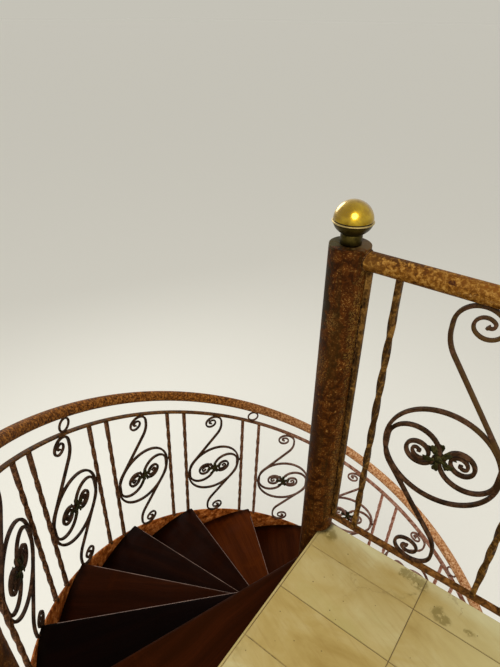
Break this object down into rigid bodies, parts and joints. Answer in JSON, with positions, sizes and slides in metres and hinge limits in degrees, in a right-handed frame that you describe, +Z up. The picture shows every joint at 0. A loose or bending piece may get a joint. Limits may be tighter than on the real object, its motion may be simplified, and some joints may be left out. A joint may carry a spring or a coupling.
{
  "type": "spiral staircase",
  "caption": "Spiral stair with dark wooden treads round a tubular column with a brass ball, forged scroll panels between twisted bars, and a square tiled landing.",
  "frame": {"origin": "axis of the column on the floor, at the underside of the base flange", "axes": "+Z up, +X along the landing's guard away from the column, -Y from the column along the landing's edge to the first tread"},
  "size_m": [2.1718, 2.0832, 4.083],
  "materials": {
    "column": "dark brown paint, rusted in specks",
    "ball": "polished, tarnished below",
    "treads": "dark mahogany, satin",
    "stringer": "rusted",
    "rails": "rusted, with worn paint",
    "balusters": "worn brown paint",
    "scrolls": "dark, matt",
    "tiles": "worn tiles"
  },
  "bodies": {
    "root": {"base_flange": "column", "column": "column", "column_cap": "column", "finial_base": "ball", "finial_ball": "ball", "tread_01": "treads", "tread_02": "treads", "tread_03": "treads", "tread_04": "treads", "tread_05": "treads", "tread_06": "treads", "tread_07": "treads", "tread_08": "treads", "tread_09": "treads", "tread_10": "treads", "tread_11": "treads", "tread_12": "treads", "tread_13": "treads", "tread_14": "treads", "tread_bearers": "stringer", "stringer_1": "stringer", "stringer_2": "stringer", "stringer_3": "stringer", "handrail_1": "rails", "handrail_2": "rails", "handrail_3": "rails", "sub_rail_1": "rails", "sub_rail_2": "rails", "sub_rail_3": "rails", "rail_rings": "rails", "stair_balusters": "balusters", "stair_panels_1": "scrolls", "stair_panels_2": "scrolls", "stair_panels_3": "scrolls", "stair_panels_4": "scrolls", "lower_newel": "rails", "upper_newel": "column", "upper_newel_cap": "column", "landing_slab": "tiles", "landing_frame": "stringer", "landing_handrail": "rails", "landing_bottom_rail": "rails", "landing_balusters": "balusters", "landing_panels": "scrolls", "guard_stiles": "rails"}
  },
  "joints": []
}
